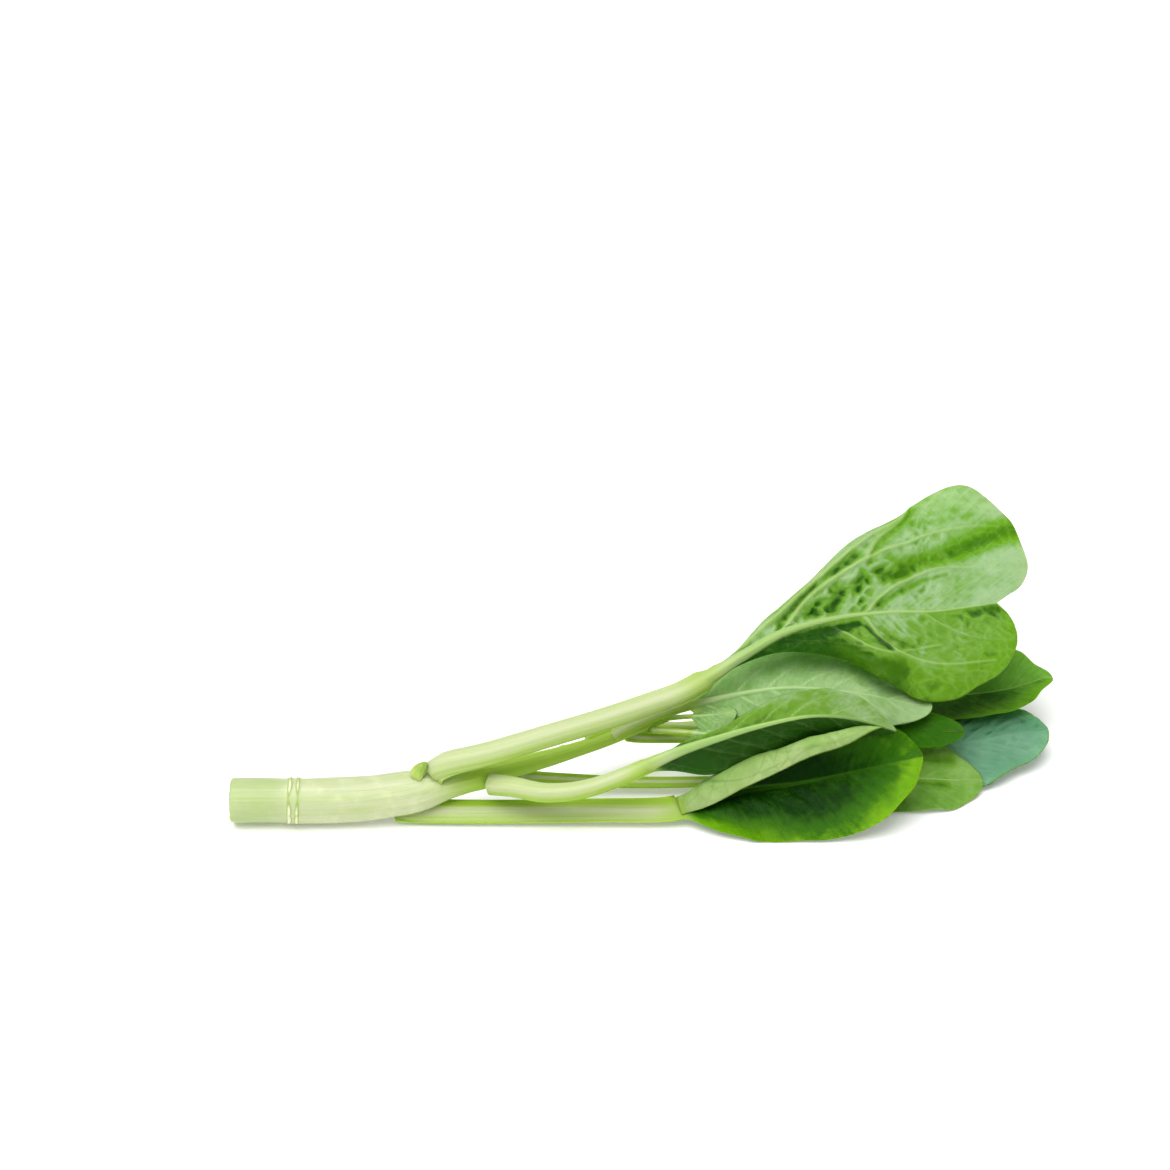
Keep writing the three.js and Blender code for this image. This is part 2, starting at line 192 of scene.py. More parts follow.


# the strong veins and the furrows of the top leaf, on its right and its left half; the furrows' shade is
# painted shade in their troughs
TOP_RIGHT_RIDGES = (
    Ridge([[36, 0], [49, 9.3], [59, 14.1], [74, 21], [93, 28.5], [110, 31.5], [132, 31]], 1.15),
    Ridge([[74, 21], [79, 27], [85, 34], [94, 42], [106, 50]], 0.8),
    Ridge([[70, 0], [74.5, 4.5], [79, 7.5], [86, 11.5], [94.5, 15], [105, 17], [122, 15]], 0.8),
    Ridge([[18, 2.5], [36, 6.6], [46, 11.2], [58, 17.8], [68, 24], [79, 31.5], [92, 41]], 1.2, 0.7),
)
TOP_RIGHT_FURROWS = (
    Furrow(
        [[87.5, 18], [97, 20.5], [108, 22.5], [120, 25.5], [138, 30.5]],
        4.4, 2.4, 2.6, shade=1.7, glow=1.6,
    ),
    Furrow([[77, 22], [82, 29], [88, 35.5], [98, 43]], 1.4, 1.3, shade=0.7, glow=0.5),
    Furrow([[76, 3.5], [86, 8.5], [95, 12.5], [106, 14.5]], 0.6, 0.3, 1.4, shade=0.4, glow=0.1),
    Furrow([[37, 4.5], [44.5, 8.3], [49, 11], [55, 14.5]], 1.5, 0.9, 1.8, shade=1.1, glow=0.3),
    Furrow([[67.5, 20.5], [71, 23]], 1.9, 1.6, shade=1.5),
    Furrow([[62, 17.2], [64.5, 19]], 1.5, 1.4, shade=1.5),
    Furrow([[57, 4], [60, 6], [63, 10]], 2.4, 1.6, shade=1.3),
    Furrow([[69, 10], [72, 14.5]], 1.8, 1.5),
    Furrow([[79, 15.5], [83, 14], [88, 15.5]], 2, 1.3, glow=0.8),
    Furrow([[47, 3.5], [53, 7]], 1.6, 1.3),
)
TOP_LEFT_RIDGES = (
    Ridge([[69, 0], [72, 8.5], [76, 14], [80, 17], [88, 19.5], [98, 21.5], [116, 22]], 0.75),
    Ridge([[55.5, 3], [60.5, 7.5], [66, 12.5], [72, 15.5], [79, 16.5], [86, 15.5], [97, 13.5]], 0.7),
)
TOP_LEFT_FURROWS = (
    Furrow([[55, 9.5], [63, 16], [70, 20], [80, 23]], 3.2, 0.8, 2, shade=0.8, glow=1),
    Furrow([[34, 3.5], [42, 4.2], [54, 4.2], [66, 3.4]], 1.4, 0.8, shade=1.6),
    Furrow([[69, 5], [72.5, 11], [76, 15]], 1.1, 0.8),
    Furrow([[108, 1.5], [124, 2.5]], 1.7, 0.9, 0.8, shade=0.5, glow=0.5),
    Furrow([[75, 6], [81, 12], [88, 15]], 1.4, 1.1, shade=0.8),
)

# low tone values paint shade into folds, cups and creases, lowest inside the middle leaf's fold and the
# front leaf's cup; high ones paint sheen on the top leaf's upper lobe
LEAVES = [
    Leaf(
        "top_leaf", "leaf_top", "leaf_bright", "bright",
        route=[
            [71.3, 5.6, 18.2, 200], [74.6, 4.8, 21.8, 206], [79, 3.5, 25, 212], [92.6, 2.5, 29.3, 214],
            [112.5, 6, 34, 216], [134, 12, 37.8, 218], [151, 18, 40.6, 219], [165, 23.5, 43.4, 219],
            [184, 33, 51, 218], [200.3, 42, 56, 218], [221, 51, 56.8, 218], [241, 58, 55, 217],
            [258, 62, 53, 216], [281, 68, 53, 214],
        ],
        petiole=107, rib=4.5, foot=6.8,
        right=Half(
            reach=[1.6, 5, 10.4, 22, 61, 78.6, 75, 66.7, 58.4, 50.3, 44], fold=(26, -6, -10),
            curl=(10, 10, 24), hem=(0, 0, 20), sweep=(56, 26),
            veins=[Vein(at=0.78, angle=34, turn=40, radius=0.35, forks=())],
            # the pale tones out on the upper lobe are partly painted sheen
            tone=(0.2, 0.5, 0.8, 0.7, 0.6, 0.6, 0.8), rim_tone_and_painted_light=(0.3, 0.5, 0.6, 0.5, 0.7, 0.9, 0.9),
            quilt=(0.6, 1.6, 2.6, 2.2, 1, 0.3, 0), ridges=TOP_RIGHT_RIDGES, furrows=TOP_RIGHT_FURROWS,
        ),
        left=Half(
            reach=[1.5, 3, 5.9, 11, 21, 39.9, 44.8, 41.2, 39.7, 34.7, 28.7], fold=(24, -6, -8),
            curl=(10, 20, 24), hem=(0, 20, 20), sweep=(66, 46),
            veins=[
                Vein(at=0.24, angle=24, turn=10, radius=0.5, stop=0.7, forks=()),
                Vein(at=0.76, angle=46, turn=50, radius=0.4, forks=()),
            ],
            # the dark tones near the base are painted shadow under the midrib
            tone=(-0.4, -0.6, -0.3, 0.6, 0.2, -0.4), rim_tone_and_painted_light=(-0.6, -1, -0.8, 0, 0.1, 0),
            vivid=(0, 0, 0.5, 1, 0.8, 0.9), quilt=(0.3, 1, 1.4, 1.5, 1.5, 1.2), quilt_fade=0.4,
            ridges=TOP_LEFT_RIDGES, furrows=TOP_LEFT_FURROWS,
        ),
        trim=0, notched=True, stalk_green=(0.2, 0), neck=0.84, shoulder=0.3, cell=(5.4, 4), pleat=1.2,
        broad=2.2, seed=3, vein_radius=0.85,
    ),
    Leaf(
        "middle_leaf", "leaf_middle", "leaf_bright", "bright",
        route=[
            [90.5, 4, 15.2, 250], [101.4, -0.6, 17.1, 240], [112.4, -3.5, 16.6, 230],
            [124.6, -4, 17.8, 222], [136.4, -2, 20.5, 214], [148, 0, 25, 208], [160, 2, 30, 205],
            [172, 4, 33.6, 204], [190, 7, 38, 204], [208, 10, 40.2, 204], [224, 11, 38.3, 206],
            [240.6, 12, 32.3, 210],
        ],
        petiole=61.5, rib=3.9, foot=4.6,
        right=Half(
            reach=[1.5, 6, 11, 18.5, 16.5, 7], fold=(30, 14, 6), curl=(10, 14, 20), tone=(-1.1, -0.2, 0.4),
            rim_tone_and_painted_light=(-0.6, 0.3, 0.4),
        ),
        left=Half(
            # the low tones are painted shade inside this half's fold
            reach=[4, 16, 25, 21, 14, 7], fold=(66, 80, 60), curl=(14, 10, 20), tone=(-1.4, -2, -2),
            rim_tone_and_painted_light=(-1.2, -2, -1.8),
        ),
        seed=5,
    ),
    Leaf(
        "front_leaf", "leaf_front", "leaf_deep", "deep",
        route=[
            [57, 4, 5.2, 60], [66, 3.2, 4.2, 50], [78, 2.6, 4, 36], [100, 2.4, 4, 26],
            [124.6, 2.4, 4.2, 22], [136.5, 2.4, 4.3, 20], [148.4, 2.4, 4.3, 20], [158, 2.8, 4.6, 20],
            [166, 4, 6, 20], [183.5, 7.5, 9.6, 22], [205, 9, 12.2, 25], [227, 10, 17.2, 27],
            [247.5, 10, 22.8, 26],
        ],
        # the strong green on the left flank of its petiole is partly painted shade under the middle petiole
        petiole=104, rib=4.4, foot=6, neck=1.1, shoulder=0.35, stalk_green=(0.9, 0.2),
        right=Half(
            reach=[5, 15.5, 21, 23, 24.5, 26, 26.5, 25.5, 22.5, 17, 10], fold=(6, -4, -4), curl=(0, -2, -2),
            # the low tones are painted shade inside the cup
            hem=(0, 10, 0), sweep=(78, 50), tone=(0, -0.7, -0.8, -0.4, 0.4),
            rim_tone_and_painted_light=(1, 0.6, 0.2, 0.6, 0.9), rim_from=0.3, vivid=(1, 0.7, 0.1, 0.4, 0.7),
        ),
        left=Half(
            reach=[12, 18.5, 22.5, 26.5, 25, 10], fold=(50, 55, 12), curl=(15, 15, 10), hem=(150, 155, 30),
            # the low tones are painted shade on the inner face of this raised half
            crease=(0.42, 0.76, 0.9), sweep=(90, 50), tone=(-0.6, -1.2, -0.1), rim_tone_and_painted_light=(0.8, 0.6, 0.2),
        ),
        ragged=0.25, ruffle=0.4, seed=7,
    ),
    Leaf(
        "low_leaf", "leaf_low", "leaf_bright", "bright",
        route=[
            [101, 13, 12.5, 40], [114, 17, 8.6, 30], [148, 20, 5, 20], [185, 21.5, 4.6, 18],
            [222, 22, 5.2, 18], [244, 22, 5.6, 19], [266, 22.5, 4, 20],
        ],
        petiole=92, rib=2.7, foot=3.6,
        right=Half(
            reach=[3, 12, 16, 18, 19, 16], fold=(4, 0, -2), curl=(6, -4, 0), tone=(0, 0, 0.4),
            rim_tone_and_painted_light=(0, 0.3, 0.6),
            furrows=(Furrow([[54, 2], [68, 3]], 1.8, 0.7, 1, shade=1, glow=0.7),),
        ),
        left=Half(
            reach=[3, 13, 17, 18, 18, 16], fold=(6, 4, 2), curl=(6, 4, 4), tone=(0, 0, 0.4),
            rim_tone_and_painted_light=(0, 0.4, 0.6), vivid=(0.4, 0.6, 0),
            furrows=(Furrow([[56, 7], [71, 7.5]], 1.6, 0.7, 1, shade=1, glow=0.7),),
        ),
        stalk_green=(1, 0.9), seed=11,
    ),
    Leaf(
        "rear_leaf", "leaf_rear", "leaf_deep", "bright",
        route=[
            [116, 18.5, 19, -50], [125, 24, 19, -30], [148, 37, 17, -10], [188, 53, 10, 4],
            [223, 61.5, 7.5, 10], [258, 65.5, 12.5, 12], [285, 67, 15, 12], [303, 68, 20.5, 12],
        ],
        petiole=106, rib=2.7, foot=3.6,
        right=Half(
            reach=[3, 11, 16, 21, 19.5, 9.5], fold=(8, 10, 12), curl=(4, 2, 0), tone=(0, -0.5, -0.4),
            rim_tone_and_painted_light=(0, -0.4, -0.2), vivid=(0, 0.7, 0.8),
        ),
        left=Half(
            reach=[3, 14, 20, 23, 22, 9.5], fold=(10, 10, 12), curl=(10, 10, 4), rim_tone_and_painted_light=(0, 0.3, 0.2),
        ),
        stalk_green=(1, 0.9), seed=13,
    ),
    Leaf(
        "blue_leaf", "leaf_blue", "leaf_blue_green", "blue",
        route=[
            [127, 19.5, 22, 150], [134, 24, 24.5, 165], [160, 33, 20.5, 190], [198, 37.5, 12.5, 200],
            [232, 37.5, 8.4, 202], [262, 40.5, 8, 202], [291, 46, 10, 202],
        ],
        petiole=96, rib=2.7, foot=3.2,
        right=Half(
            reach=[3, 11, 17, 21, 25, 18], fold=(10, 12, 12), curl=(6, 12, 6), tone=(0, -0.1, 0.3),
            rim_tone_and_painted_light=(0, -0.4, 0.1), quilt=(0.4, 1.2, 1.6, 1.4), quilt_fade=0.3,
            furrows=(
                Furrow([[60, 3], [68, 4]], 1.6, 0.7, 0.6, shade=0.5),
                Furrow([[70, 5], [76, 6.5]], 1.4, 0.6, 0.7, shade=0.4),
                Furrow([[56, 6], [63, 7.5]], 1.7, 0.6, 0.8, shade=0.5),
            ),
        ),
        left=Half(
            reach=[3, 15, 22, 25, 21, 18], fold=(0, -4, -2), curl=(4, 2, -4), tone=(0, 0.3, 0.5),
            rim_tone_and_painted_light=(0, 0.3, 0.5), quilt=(0.4, 0.8, 1.2, 1), quilt_fade=0.3,
        ),
        broad=2.4, pleat=1.2, ruffle=1.4, stalk_green=(1, 0.9), seed=17,
    ),
    Leaf(
        "pale_leaf", "leaf_pale", "leaf_bright", "pale",
        route=[
            [136, 20.5, 24, 225], [144, 21, 29, 215], [165, 26, 34.5, 206], [198, 32, 38, 204],
            [225, 35, 34.5, 203], [254, 38, 26, 202],
        ],
        petiole=32, rib=2.3, foot=2.8,
        right=Half(
            reach=[4, 20, 22, 21, 14, 9.5], fold=(12, 4, 4), curl=(6, 8, 10), tone=(0.2, 0.6, 0.6),
            rim_tone_and_painted_light=(0, 0.2, 0.4),
        ),
        left=Half(
            reach=[4, 13.5, 17.5, 17.5, 14, 9.5], fold=(12, 8, 4), curl=(10, 14, 14), tone=(0.2, 0.5, 0.6),
            rim_tone_and_painted_light=(0, 0.2, 0.6),
        ),
        stalk_green=(0.6, 0.5), seed=19,
    ),
    Leaf(
        "inner_leaf", "leaf_inner", "leaf_deep", "deep",
        route=[
            [140, 22, 24.4, 50], [150, 24.5, 21.4, 42], [178, 29, 18.5, 34], [208, 31, 19, 30],
            [238, 33, 19.5, 28], [266, 33, 18.5, 26],
        ],
        petiole=27, rib=2.0, foot=2.4,
        right=Half(reach=[1.5, 5, 8, 10, 10.5, 9], fold=(10, 2, 0), curl=(4, 4, 4)),
        left=Half(reach=[1.5, 8, 12, 14, 12, 9], fold=(14, 10, 6), curl=(6, 6, 6)),
        stalk_green=(0.8, 0.7), seed=23,
    ),
    young_leaf(
        "long_young_leaf", "young_leaf_long", petiole=17, rib=1.3, foot=1.6, longest=11, seed=29,
        route=[[150, 23.5, 26, 228], [158, 20, 27.5, 222], [174, 15, 29, 212], [192, 13, 28, 206]],
    ),
    young_leaf(
        "short_young_leaf", "young_leaf_short", petiole=13, rib=1.1, foot=1.4, longest=9, seed=31,
        route=[[154, 26, 28.6, 190], [161, 24.4, 30.6, 200], [171, 21.8, 33, 205], [184, 20, 35.4, 205]],
    ),
]


# ---- curves and patterns ----
WAVES = 5
WAVE_LENGTHS = 1.4, 2.8  # shortest and longest, as shares of the size of a hump
WAVE_SUM = 2.6  # brings the sum of the waves to about -1 to 1
NET_SIDE = 64  # cells along a side of the net, which repeats past them
SITES = 0.12, 0.88  # where in a cell its site may lie


def ease(x):
    """0 below 0, 1 above 1 and smooth between."""
    x = np.clip(x, 0, 1)
    return x * x * (3 - 2 * x)


def eased(values, share):
    """A value given at the base, the middle and the tip, eased between them."""
    base, middle, tip = values
    first = base + (middle - base) * ease(share * 2)
    return first + (tip - middle) * ease(share * 2 - 1)


def curve(before, start, end, after, t):
    """A smooth curve from start to end, shaped by the points on either side of them."""
    return 0.5 * (
        2 * start
        + (end - before) * t
        + (2 * before - 5 * start + 4 * end - after) * t**2
        + (3 * start - 3 * end + after - before) * t**3
    )


def spline(values, share):
    """A smooth curve through evenly spaced values."""
    values = np.array(values, float)
    last = len(values) - 1
    start = np.minimum((share * last).astype(int), last - 1)
    near = [values[np.clip(start + i, 0, last)] for i in (-1, 0, 1, 2)]
    return curve(*near, share * last - start)


def waves(x, y, size, seed):
    """A smooth irregular surface between about -1 and 1, with humps of this size."""
    random = np.random.default_rng(seed)
    total = np.zeros(np.broadcast(x, y).shape)
    for _ in range(WAVES):
        turn, phase = random.uniform(0, 2 * math.pi, 2)
        length = size * random.uniform(*WAVE_LENGTHS)
        along = x * math.cos(turn) + y * math.sin(turn)
        total = total + np.sin(along * 2 * math.pi / length + phase)
    return total / WAVE_SUM


def cells(x, y, seed):
    """A net of irregular cells about 1 across: the distance from a border, and each cell's own value."""
    random = np.random.default_rng(seed)
    sites = random.uniform(*SITES, (NET_SIDE, NET_SIDE, 2))
    values = random.uniform(0, 1, (NET_SIDE, NET_SIDE))
    column, row = np.floor(x).astype(int), np.floor(y).astype(int)
    nearest, second = np.full(x.shape, np.inf), np.full(x.shape, np.inf)
    own = np.zeros(x.shape)
    for i in (-1, 0, 1):
        for j in (-1, 0, 1):
            at = (column + i) % NET_SIDE, (row + j) % NET_SIDE
            site = sites[at]
            away = np.hypot(column + i + site[..., 0] - x, row + j + site[..., 1] - y)
            second = np.minimum(second, np.maximum(nearest, away))
            own = np.where(away < nearest, values[at], own)
            nearest = np.minimum(nearest, away)
    return second - nearest, own


class Route:
    """A smooth line through points. Where they are [x, y, z, roll], it has a frame at any distance."""

    PER_SPAN = 60

    def __init__(self, points):
        points = np.array(points, float)
        points = np.vstack([2 * points[0] - points[1], points, 2 * points[-1] - points[-2]])
        t = np.arange(self.PER_SPAN)[:, None] / self.PER_SPAN
        spans = [curve(*near, t) for near in zip(points, points[1:], points[2:], points[3:])]
        self.line = np.vstack([*spans, points[-2]])
        steps = np.linalg.norm(np.diff(self.line[:, :3], axis=0), axis=1)
        self.distance = np.concatenate([[0], np.cumsum(steps)])
        self.length = self.distance[-1]
        slope = np.gradient(self.line[:, :3], self.distance, axis=0)
        self.slope = slope / np.linalg.norm(slope, axis=1, keepdims=True)

    def frames(self, distance):
        """Point, face and side at each distance; past an end the line runs straight on."""
        inside = np.clip(distance, 0, self.length)

        def read(table):
            return np.stack([np.interp(inside, self.distance, column) for column in table.T], -1)

        tangent = read(self.slope)
        tangent /= np.linalg.norm(tangent, axis=-1, keepdims=True)
        point = read(self.line[:, :3]) + tangent * (distance - inside)[..., None]
        roll = np.radians(read(self.line[:, 3:]))
        up = np.array([0, 0, 1.0]) - tangent * tangent[..., 2:]
        up /= np.linalg.norm(up, axis=-1, keepdims=True)
        face = up * np.cos(roll) + np.cross(tangent, up) * np.sin(roll)
        return point, face, np.cross(tangent, face)


# ---- veins ----
VEIN_STEP = 1.3
MOST_STEPS = 90
VEIN_WINDOW = 12  # how far from a vein its height and distance are worked out
MIN_ANGLE = 0.02  # least angle between an outline's rows and the midrib, in radians
JOIN_TURN, JOIN_FROM, JOIN_OVER = 34, 0.72, 0.25  # turn to the tip where veins join up near the margin
THINNING = 0.72  # share of its radius that a vein loses on its way out
FORK_RADIUS = 0.68  # as a share of the vein's own
EVEN_FROM, EVEN_TO, EVEN_POWER = 0.04, 0.88, 0.9  # where an even set of veins leaves the midrib
EVEN_ANGLE, EVEN_CLOSING, EVEN_TURN, EVEN_THINNING = 50, 16, 24, 0.45


class Outline:
    """A half blade laid flat: where its rows start on the midrib, how long they are and their angle."""

    def __init__(self, start, length, angle):
        self.start, self.length, self.angle = start, length, np.maximum(angle, MIN_ANGLE)

    def share(self, x, y):
        """How far out from the midrib a point is, as a share of the way to the margin."""
        rows = np.arange(len(self.start))
        row = np.interp(x, self.start + y / np.tan(self.angle), rows)
        length = np.interp(row, rows, self.length)
        angle = np.interp(row, rows, self.angle)
        return y / (length * math.sin(angle) + 1e-6)


def trace(outline, x, y, vein):
    """The stretches [x0, y0, x1, y1, radius0, radius1] of a vein and its forks."""
    made, forks = [], list(vein.forks)
    begin = share = outline.share(x, y) if y > 0 else 0
    for _ in range(MOST_STEPS):
        joining = JOIN_TURN * float(ease((share - JOIN_FROM) / JOIN_OVER))
        angle = vein.angle - vein.turn * share - joining
        next_x = x + VEIN_STEP * math.cos(math.radians(angle))
        next_y = y + VEIN_STEP * math.sin(math.radians(angle))
        if next_y < 0:
            break
        next_share = outline.share(next_x, next_y)
        way = [min(1, (end - begin) / (vein.stop - begin)) for end in (share, next_share)]
        radii = [vein.radius * (1 - THINNING * part) for part in way]
        made.append([x, y, next_x, next_y, *radii])
        for fork in [fork for fork in forks if fork[0] < next_share]:
            forks.remove(fork)
            fork_angle = angle + fork[1] + vein.turn * next_share
            branch = replace(vein, angle=fork_angle, radius=radii[1] * FORK_RADIUS, forks=())
            made += trace(outline, next_x, next_y, branch)
        x, y, share = next_x, next_y, next_share
        if share > vein.stop:
            break
    return made


def even_veins(leaf, seed):
    """Side veins at nearly even places, closer to the midrib's direction and finer towards the tip."""
    random = np.random.default_rng(seed)
    return [
        Vein(
            share + random.uniform(-0.02, 0.02),
            EVEN_ANGLE - EVEN_CLOSING * share + random.uniform(-4, 4),
            turn=EVEN_TURN + random.uniform(-5, 5),
            radius=leaf.vein_radius * (1 - EVEN_THINNING * share),
        )
        for share in np.linspace(EVEN_FROM, EVEN_TO, leaf.veins) ** EVEN_POWER
    ]


def veins_of(leaf, half, outline, blade_length, seed):
    """The stretches of all side veins and ridges in one half blade."""
    made = []
    for vein in half.veins or even_veins(leaf, seed):
        made += trace(outline, leaf.petiole + blade_length * vein.at, 0.0, vein)
    for ridge in half.ridges:
        path = Route([[leaf.petiole + x, y] for x, y in ridge.points])
        at = np.linspace(0, path.length, round(path.length / VEIN_STEP) + 1)
        x, y = (np.interp(at, path.distance, column) for column in path.line.T)
        radius = np.linspace(ridge.radius, ridge.end_radius, len(at))
        made += np.stack([x[:-1], y[:-1], x[1:], y[1:], radius[:-1], radius[1:]], 1).tolist()
    return made


def near_veins(x, y, stretches, window):
    """How far the veins stand out at each point, in mm, and the distance to the nearest one."""
    raised = np.zeros(x.shape)
    gap = np.full(x.shape, float(window))
    for x0, y0, x1, y1, r0, r1 in stretches:
        close = (x > min(x0, x1) - window) & (x < max(x0, x1) + window)
        close &= (y > min(y0, y1) - window) & (y < max(y0, y1) + window)
        px, py = x[close] - x0, y[close] - y0
        dx, dy = x1 - x0, y1 - y0
        along = np.clip((px * dx + py * dy) / (dx * dx + dy * dy), 0, 1)
        away = np.hypot(px - along * dx, py - along * dy)
        radius = r0 + (r1 - r0) * along
        raised[close] = np.maximum(raised[close], radius * np.exp(-((away / radius) ** 2)))
        gap[close] = np.minimum(gap[close], away)
    return raised, gap


# ---- meshes ----
def placed(name, data):
    """An object for a mesh, light or camera, in the scene."""
    made = bpy.data.objects.new(name, data)
    bpy.context.scene.collection.objects.link(made)
    return made


def shell(name, places, looks):
    """A closed piece through a grid of places, each row of it a ring and the end rows a point each.

    looks: the values of the piece's attributes over the same grid
    """
    rows, ring = places.shape[0] - 1, places.shape[1]
    rolled = bmesh.new()
    bmesh.ops.create_grid(rolled, x_segments=ring, y_segments=rows, size=1)
    for point in rolled.verts:
        around, down = (point.co.x + 1) * math.pi, (point.co.y + 1) * math.pi / 2
        out = math.sin(down)
        point.co = (math.cos(around) * out, math.sin(around) * out, math.cos(down))
    bmesh.ops.remove_doubles(rolled, verts=rolled.verts, dist=1e-6)
    mesh = bpy.data.meshes.new(name)
    rolled.to_mesh(mesh)
    rolled.free()
    ball = np.empty(len(mesh.vertices) * 3)
    mesh.vertices.foreach_get("co", ball)
    x, y, z = ball.reshape(-1, 3).T
    row = np.rint(np.arccos(np.clip(z, -1, 1)) / math.pi * rows).astype(int)
    column = np.rint(np.arctan2(y, x) / (2 * math.pi) * ring).astype(int) % ring
    mesh.vertices.foreach_set("co", ((places[row, column] + SHIFT) * MM).ravel())
    for key, values in looks.items():
        kind, part = ("FLOAT", "value") if values.ndim == 2 else ("FLOAT_VECTOR", "vector")
        attribute = mesh.attributes.new(key, kind, "POINT")
        attribute.data.foreach_set(part, values[row, column].astype(np.float32).ravel())
    mesh.update()
    solid = bmesh.new()
    solid.from_mesh(mesh)
    inside_out = solid.calc_volume(signed=True) < 0
    solid.free()
    if inside_out:
        mesh.flip_normals()
    mesh.shade_smooth()
    return placed(name, mesh)


BLADE = 0.5  # thickness of a blade
STEP, PETIOLE_STEP = 0.7, 3.0  # between points of a blade's mesh, and between rows of a petiole's
SECTION_STEPS = 24  # steps from the midrib outwards that add up the bend
RIB_STEPS = 7  # columns in half of the rib
LEAST_ROWS = 5  # in a petiole
CLASP_REACH = 1.6  # how far up a petiole the clasp fades, as a multiple of its foot
CLASP_CURL, PETIOLE_CURL = 50, 20
LATER = 6  # power by which the rows crowd at a pointed tip, or shorten at a notched one
TIP_POWER = 8  # how late the rows turn to the tip
SEAM_ANGLE = 0.3  # between the last rows and the middle line at the tip, in degrees
TIP_RIB = 0.1  # radius of the rib at the tip, as a share of the petiole's
TAPER = 2.1  # power by which the rib thins towards the tip
HEM_OVER = 0.3  # share of the way out over which the hem turns
NET_TURN = math.radians(40)  # between the midrib and the net of puckers
GROOVE, RISE = 0.35, 0.75  # how far a vein sinks the blade and thickens it below, as shares of its radius


def row_tables(leaf, route):
    """What the cross rows of a leaf need, over all rows, and the same for each of its halves."""
    blade_length = route.length - leaf.petiole - leaf.trim
    petiole_rows = max(LEAST_ROWS, round(leaf.petiole / PETIOLE_STEP))
    blade_rows = round(blade_length / STEP)
    stalk = np.arange(petiole_rows + 1) / petiole_rows
    blade = np.arange(1, blade_rows + 1) / blade_rows
    crowded = (LATER * blade - blade**LATER) / (LATER - 1)
    slow = blade if leaf.notched else crowded
    taper = 1 - (1 - slow) ** TAPER

    def rows(in_petiole, in_blade):
        return np.concatenate([np.broadcast_to(in_petiole, stalk.shape), in_blade])

    shoulder = 1 - leaf.shoulder * ease(slow / 0.03) * (1 - slow)
    tables = SimpleNamespace(
        blade_from=petiole_rows,
        blade_length=blade_length,
        start=rows(leaf.petiole * stalk, leaf.petiole + blade_length * slow),
        rib=rows(
            leaf.rib * (1 - (1 - leaf.neck) * stalk),
            leaf.rib * (leaf.neck - (leaf.neck - TIP_RIB) * taper) * shoulder,
        ),
        below=rows(leaf.rib * (0.85 - 0.15 * stalk), leaf.rib * (0.7 - 0.6 * taper)),
        above=rows(leaf.rib * 0.4 * (1 - 0.5 * stalk), leaf.rib * 0.2 * (1 - slow) ** 2),
        inside=rows(0, ease(slow / 0.06)),
        share=rows((stalk - 1) * leaf.petiole / blade_length, slow),
        halves=[],
    )
    clasp = np.exp(-leaf.petiole * stalk / (CLASP_REACH * leaf.foot))
    width = leaf.rib * (0.95 - (0.95 - 1.15 * leaf.neck) * stalk)
    for half in (leaf.left, leaf.right):
        nibbled = leaf.ragged * waves(tables.start[-blade_rows:], 0, 7, leaf.seed + 9)
        length = spline(half.reach, slow) + nibbled * ease(slow / 0.2)
        sweep = half.sweep[0] + (half.sweep[1] - half.sweep[0]) * blade
        if leaf.notched:
            length = length * np.sqrt(1 - blade**LATER)
        else:
            sweep = np.maximum(sweep * (1 - (blade / blade[-2]) ** TIP_POWER), SEAM_ANGLE)
        least = tables.rib[-blade_rows:] * 1.15 * np.sqrt(1 - blade)
        tables.halves.append(
            SimpleNamespace(
                length=rows(width + (leaf.foot - width) * clasp, np.maximum(length, least)),
                angle=np.radians(rows(90, sweep)),
                fold=rows(0, eased(half.fold, blade)),
                curl=rows(PETIOLE_CURL + CLASP_CURL * clasp, eased(half.curl, blade)),
                hem=rows(0, eased(half.hem, blade)),
                crease=rows(1, eased(half.crease, blade)),
                tone=rows(0, spline(half.tone, slow)),
                rim_tone_and_painted_light=rows(0, spline(half.rim_tone_and_painted_light, slow)),
                quilt=rows(0, spline(half.quilt, slow)),
                vivid=rows(0, spline(half.vivid, slow)),
            )
        )
    return tables


def bent(table, out_share, width):
    """How far out and how high the points of a half blade lie once it is bent, and the bend at each."""
    columns = (table.fold, table.curl, table.hem, table.crease)
    fold, curl, hem, crease = (column[:, None] for column in columns)

    def bend_at(part):
        return np.radians(fold + curl * part + hem * ease((part - crease) / HEM_OVER + 0.5))

    out, lift = np.zeros(width.shape), np.zeros(width.shape)
    for i in range(SECTION_STEPS):
        bend = bend_at(out_share * (i + 0.5) / SECTION_STEPS)
        out += np.cos(bend) * width / SECTION_STEPS
        lift += np.sin(bend) * width / SECTION_STEPS
    return out, lift, bend_at(out_share)


def furrows_of(leaf, half, along, width):
    """How deep the furrows of a half blade are, how much painted shade they lay on it and how much they
    make it glow.
    """
    effects = np.zeros((3, *width.shape))
    for furrow in half.furrows:
        path = np.array(furrow.points, float) + [leaf.petiole, 0]
        widths = np.linspace(furrow.start_width or furrow.width, furrow.width, len(path))
        stretches = np.column_stack([path[:-1], path[1:], widths[:-1], widths[1:]])
        sunk = near_veins(along, width, stretches, 4 * furrow.width)[0] / furrow.width
        effects += np.multiply.outer([furrow.depth, furrow.shade, furrow.glow], sunk)
    return effects


